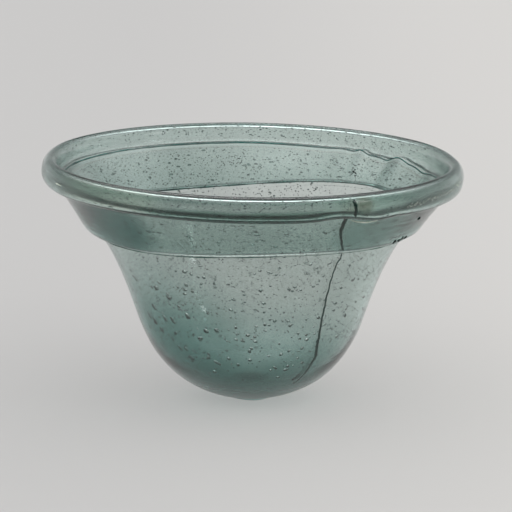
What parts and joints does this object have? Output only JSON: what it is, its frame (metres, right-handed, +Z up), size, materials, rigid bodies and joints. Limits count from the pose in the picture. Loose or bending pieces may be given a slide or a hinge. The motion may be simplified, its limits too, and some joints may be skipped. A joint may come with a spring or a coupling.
{
  "type": "palm cup",
  "caption": "Small round-bottomed blown glass cup held in the palm, with a flaring bell-shaped wall and a rim folded outward into a hollow roll and a broad collar",
  "frame": {"origin": "centre of the worn foot, on the surface the cup stands on, below the middle of the rim", "axes": "+Z up through the middle of the mouth; -Y is the side that faces the viewer in the picture, +X is to its right"},
  "size_m": [0.112, 0.112, 0.066],
  "materials": {
    "wall_glass": "fire-polished, full of seed bubbles",
    "roll_glass": "fire-polished, glossy",
    "collar_glass": "fire-polished, seed bubbles drawn out round the rim",
    "scar_glass": "rough break, worn flat on a ring"
  },
  "bodies": {
    "root": {"bowl": "wall_glass", "rim_roll": "roll_glass", "collar": "collar_glass", "pontil_scar": "scar_glass"}
  },
  "joints": []
}
